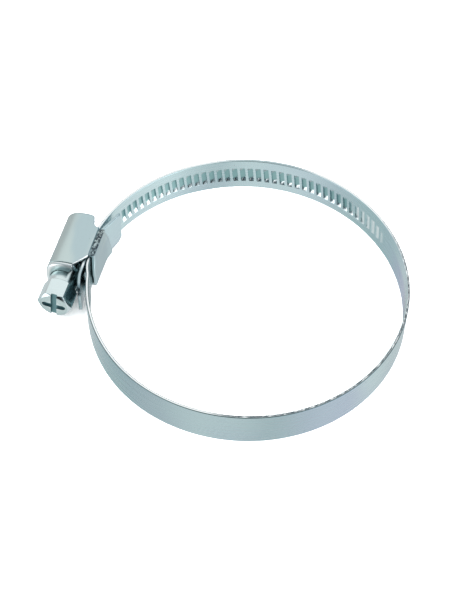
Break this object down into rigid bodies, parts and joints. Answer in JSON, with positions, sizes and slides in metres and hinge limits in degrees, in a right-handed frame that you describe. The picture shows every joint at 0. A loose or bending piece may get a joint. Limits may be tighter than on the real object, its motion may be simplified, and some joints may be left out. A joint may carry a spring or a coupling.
{
  "type": "hose clamp",
  "caption": "Worm-drive hose clamp with a steel band, pressed housing and hexagon-head screw, shown open near its largest setting.",
  "frame": {"origin": "bottom centre of the clamp's box, on the plane it lies on", "axes": "+Z along the ring's axis, up; the housing is on the -X side; +Y along the screw, away from its head"},
  "size_m": [0.0806, 0.0723, 0.011],
  "materials": {
    "band_steel": "bright zinc plating",
    "pressed_steel": "satin zinc plating",
    "screw_steel": "bright zinc plating"
  },
  "bodies": {
    "housing": {"housing_cap": "pressed_steel", "saddle_plate": "pressed_steel", "band_fixed_end": "band_steel"},
    "screw": {"worm_screw": "screw_steel"},
    "threaded_end": {"band_threaded_end": "band_steel"},
    "link_01": {"band_link_01": "band_steel"},
    "link_02": {"band_link_02": "band_steel"},
    "link_03": {"band_link_03": "band_steel"},
    "link_04": {"band_link_04": "band_steel"},
    "link_05": {"band_link_05": "band_steel"},
    "link_06": {"band_link_06": "band_steel"},
    "link_07": {"band_link_07": "band_steel"},
    "link_08": {"band_link_08": "band_steel"},
    "link_09": {"band_link_09": "band_steel"},
    "link_10": {"band_link_10": "band_steel"},
    "link_11": {"band_link_11": "band_steel"},
    "link_12": {"band_link_12": "band_steel"},
    "link_13": {"band_link_13": "band_steel"},
    "link_14": {"band_link_14": "band_steel"},
    "link_15": {"band_link_15": "band_steel"},
    "link_16": {"band_link_16": "band_steel"},
    "link_17": {"band_link_17": "band_steel"},
    "housing_link": {"band_housing_link": "band_steel"}
  },
  "joints": [
    {"name": "screw_turn", "type": "hinge", "parent": "housing", "child": "screw", "pos_m": [-0.03603, 0, 0.0055], "axis": [0, 1, 0], "range_deg": [-252, 6011]},
    {"name": "band_feed", "type": "hinge", "parent": "housing", "child": "threaded_end", "pos_m": [0.00358, -0.0004, 0.0055], "axis": [0, 0, 1], "range_deg": [-1.5, 49.5]},
    {"name": "bend_01", "type": "hinge", "parent": "threaded_end", "child": "link_01", "pos_m": [-0.01208, 0.0319, 0.0055], "axis": [0, 0, 1], "range_deg": [-5.9, 0.4]},
    {"name": "bend_02", "type": "hinge", "parent": "link_01", "child": "link_02", "pos_m": [-0.00208, 0.03525, 0.0055], "axis": [0, 0, 1], "range_deg": [-4.4, 0.3]},
    {"name": "bend_03", "type": "hinge", "parent": "link_02", "child": "link_03", "pos_m": [0.00847, 0.03554, 0.0055], "axis": [0, 0, 1], "range_deg": [-3, 0.3]},
    {"name": "bend_04", "type": "hinge", "parent": "link_03", "child": "link_04", "pos_m": [0.01863, 0.03275, 0.0055], "axis": [0, 0, 1], "range_deg": [-2.1, 0.2]},
    {"name": "bend_05", "type": "hinge", "parent": "link_04", "child": "link_05", "pos_m": [0.02755, 0.02712, 0.0055], "axis": [0, 0, 1], "range_deg": [-1.6, 0.2]},
    {"name": "bend_06", "type": "hinge", "parent": "link_05", "child": "link_06", "pos_m": [0.03444, 0.01913, 0.0055], "axis": [0, 0, 1], "range_deg": [-1.7, 0.2]},
    {"name": "bend_07", "type": "hinge", "parent": "link_06", "child": "link_07", "pos_m": [0.0387, 0.00948, 0.0055], "axis": [0, 0, 1], "range_deg": [-2.1, 0.2]},
    {"name": "bend_08", "type": "hinge", "parent": "link_07", "child": "link_08", "pos_m": [0.03996, -0.00099, 0.0055], "axis": [0, 0, 1], "range_deg": [-2.7, 0.3]},
    {"name": "bend_09", "type": "hinge", "parent": "link_08", "child": "link_09", "pos_m": [0.03812, -0.01138, 0.0055], "axis": [0, 0, 1], "range_deg": [-3.2, 0.3]},
    {"name": "bend_10", "type": "hinge", "parent": "link_09", "child": "link_10", "pos_m": [0.03333, -0.02077, 0.0055], "axis": [0, 0, 1], "range_deg": [-3.5, 0.3]},
    {"name": "bend_11", "type": "hinge", "parent": "link_10", "child": "link_11", "pos_m": [0.02601, -0.02837, 0.0055], "axis": [0, 0, 1], "range_deg": [-3.5, 0.3]},
    {"name": "bend_12", "type": "hinge", "parent": "link_11", "child": "link_12", "pos_m": [0.0168, -0.0335, 0.0055], "axis": [0, 0, 1], "range_deg": [-3.2, 0.3]},
    {"name": "bend_13", "type": "hinge", "parent": "link_12", "child": "link_13", "pos_m": [0.00649, -0.03572, 0.0055], "axis": [0, 0, 1], "range_deg": [-2.8, 0.3]},
    {"name": "bend_14", "type": "hinge", "parent": "link_13", "child": "link_14", "pos_m": [-0.00402, -0.03485, 0.0055], "axis": [0, 0, 1], "range_deg": [-2.4, 0.2]},
    {"name": "bend_15", "type": "hinge", "parent": "link_14", "child": "link_15", "pos_m": [-0.01379, -0.0309, 0.0055], "axis": [0, 0, 1], "range_deg": [-2.3, 0.2]},
    {"name": "bend_16", "type": "hinge", "parent": "link_15", "child": "link_16", "pos_m": [-0.02185, -0.02417, 0.0055], "axis": [0, 0, 1], "range_deg": [-2.4, 0.2]},
    {"name": "bend_17", "type": "hinge", "parent": "link_16", "child": "link_17", "pos_m": [-0.02754, -0.01543, 0.0055], "axis": [0, 0, 1], "range_deg": [-2.8, 0.3]},
    {"name": "bend_18", "type": "hinge", "parent": "link_17", "child": "housing_link", "pos_m": [-0.03054, -0.0055, 0.0055], "axis": [0, 0, 1], "range_deg": [-3.3, 0.3]}
  ],
  "couplings": [
    {"joint": "screw_turn", "follows": "band_feed", "ratio": 119.98},
    {"joint": "bend_01", "follows": "band_feed", "ratio": -0.1144},
    {"joint": "bend_02", "follows": "band_feed", "ratio": -0.0839},
    {"joint": "bend_03", "follows": "band_feed", "ratio": -0.0571},
    {"joint": "bend_04", "follows": "band_feed", "ratio": -0.0382},
    {"joint": "bend_05", "follows": "band_feed", "ratio": -0.0295},
    {"joint": "bend_06", "follows": "band_feed", "ratio": -0.0306},
    {"joint": "bend_07", "follows": "band_feed", "ratio": -0.039},
    {"joint": "bend_08", "follows": "band_feed", "ratio": -0.0506},
    {"joint": "bend_09", "follows": "band_feed", "ratio": -0.0609},
    {"joint": "bend_10", "follows": "band_feed", "ratio": -0.0665},
    {"joint": "bend_11", "follows": "band_feed", "ratio": -0.0661},
    {"joint": "bend_12", "follows": "band_feed", "ratio": -0.0606},
    {"joint": "bend_13", "follows": "band_feed", "ratio": -0.0526},
    {"joint": "bend_14", "follows": "band_feed", "ratio": -0.0457},
    {"joint": "bend_15", "follows": "band_feed", "ratio": -0.0428},
    {"joint": "bend_16", "follows": "band_feed", "ratio": -0.0455},
    {"joint": "bend_17", "follows": "band_feed", "ratio": -0.053},
    {"joint": "bend_18", "follows": "band_feed", "ratio": -0.063}
  ]
}
